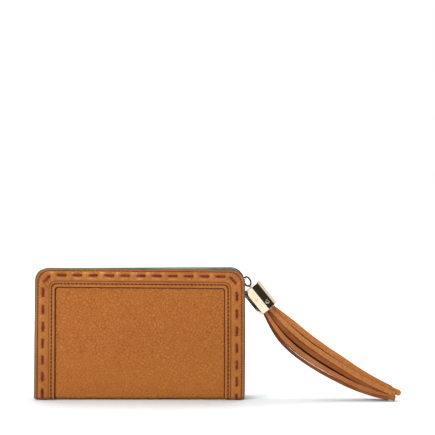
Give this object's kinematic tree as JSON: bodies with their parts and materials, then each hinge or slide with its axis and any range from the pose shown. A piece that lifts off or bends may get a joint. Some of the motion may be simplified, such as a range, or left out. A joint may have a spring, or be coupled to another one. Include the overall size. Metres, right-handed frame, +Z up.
{
  "type": "zip around wallet",
  "caption": "Standing zip-around wallet with laced arch bands, double-welt strips, pebbled covers, side gussets, a coin pocket and a leather tassel on the zip slider.",
  "frame": {"origin": "middle of the flat resting face of the spine, on the table", "axes": "+X along the spine towards the slider and tassel, -Y out of the front cover, +Z up"},
  "size_m": [0.2906, 0.0284, 0.107],
  "materials": {
    "pebbled_leather": "pebbled tan leather, semi-matt",
    "smooth_leather": "smooth tan leather, soft sheen",
    "lace_leather": "dark red-brown leather lace",
    "tassel_leather": "tan leather strips with raw edges",
    "lining_leather": "thin matt lining leather",
    "board": "pressed fibre stiffener",
    "zip_tape": "woven zip tape",
    "zip_metal": "antique brass",
    "cap_metal": "polished light gold plating"
  },
  "bodies": {
    "spine": {"coin_pocket_back_wall": "lining_leather", "coin_pocket_front_wall": "lining_leather", "coin_zip_tape_back": "zip_tape", "coin_zip_tape_front": "zip_tape", "coin_zip_teeth_back": "zip_metal", "coin_zip_teeth_front": "zip_metal", "inner_gusset_back_left": "lining_leather", "inner_gusset_back_right": "lining_leather", "inner_gusset_front_left": "lining_leather", "inner_gusset_front_right": "lining_leather", "spine_band_left": "smooth_leather", "spine_band_right": "smooth_leather", "spine_leather": "pebbled_leather", "spine_lining": "lining_leather", "spine_stiffener": "board", "spine_welt_left": "smooth_leather", "spine_welt_right": "smooth_leather"},
    "front_cover": {"front_band": "smooth_leather", "front_board": "board", "front_gusset_left": "lining_leather", "front_gusset_right": "lining_leather", "front_lace": "lace_leather", "front_leather": "pebbled_leather", "front_lining": "lining_leather", "front_slip_pocket": "lining_leather", "front_welt": "smooth_leather", "front_zip_stop": "zip_metal", "front_zip_tape": "zip_tape", "front_zip_teeth": "zip_metal"},
    "back_cover": {"back_band": "smooth_leather", "back_board": "board", "back_gusset_left": "lining_leather", "back_gusset_right": "lining_leather", "back_lace": "lace_leather", "back_leather": "pebbled_leather", "back_lining": "lining_leather", "back_welt": "smooth_leather", "back_zip_stop": "zip_metal", "back_zip_tape": "zip_tape", "back_zip_teeth": "zip_metal", "card_pocket_1": "lining_leather", "card_pocket_2": "lining_leather", "card_pocket_3": "lining_leather"},
    "zip_slider": {"zip_slider": "cap_metal"},
    "pull_ring": {"pull_ring": "cap_metal"},
    "tassel": {"cap_rivet": "cap_metal", "cap_screw": "cap_metal", "tassel_cap": "cap_metal", "tassel_strand_1": "tassel_leather", "tassel_strand_2": "tassel_leather", "tassel_strand_3": "tassel_leather", "tassel_strand_4": "tassel_leather", "tassel_strand_5": "tassel_leather", "tassel_strand_6": "tassel_leather", "tassel_strand_7": "tassel_leather", "tassel_strand_8": "tassel_leather"},
    "coin_slider": {"coin_slider": "zip_metal"},
    "coin_puller": {"coin_puller": "zip_metal"}
  },
  "joints": [
    {"name": "front_cover_hinge", "type": "hinge", "parent": "spine", "child": "front_cover", "pos_m": [0, -0.0076, 0.0032], "axis": [1, 0, 0], "range_deg": [0, 20]},
    {"name": "back_cover_hinge", "type": "hinge", "parent": "spine", "child": "back_cover", "pos_m": [0, 0.0076, 0.0032], "axis": [-1, 0, 0], "range_deg": [0, 20]},
    {"name": "zip_slider_travel", "type": "slide", "parent": "back_cover", "child": "zip_slider", "axis": [0, 0, -1], "range_m": [0, 0.078]},
    {"name": "ring_swing", "type": "hinge", "parent": "zip_slider", "child": "pull_ring", "pos_m": [0.086, 0, 0.0974], "axis": [0, -1, 0], "range_deg": [0, 75]},
    {"name": "tassel_swing", "type": "hinge", "parent": "pull_ring", "child": "tassel", "pos_m": [0.08816, 0, 0.09256], "axis": [0.9135, 0, 0.4067], "range_deg": [-12, 12]},
    {"name": "coin_slider_travel", "type": "slide", "parent": "spine", "child": "coin_slider", "axis": [1, 0, 0], "range_m": [0, 0.108]},
    {"name": "coin_puller_swing", "type": "hinge", "parent": "coin_slider", "child": "coin_puller", "pos_m": [-0.054, 0, 0.091], "axis": [0, -1, 0], "range_deg": [0, 150]}
  ]
}
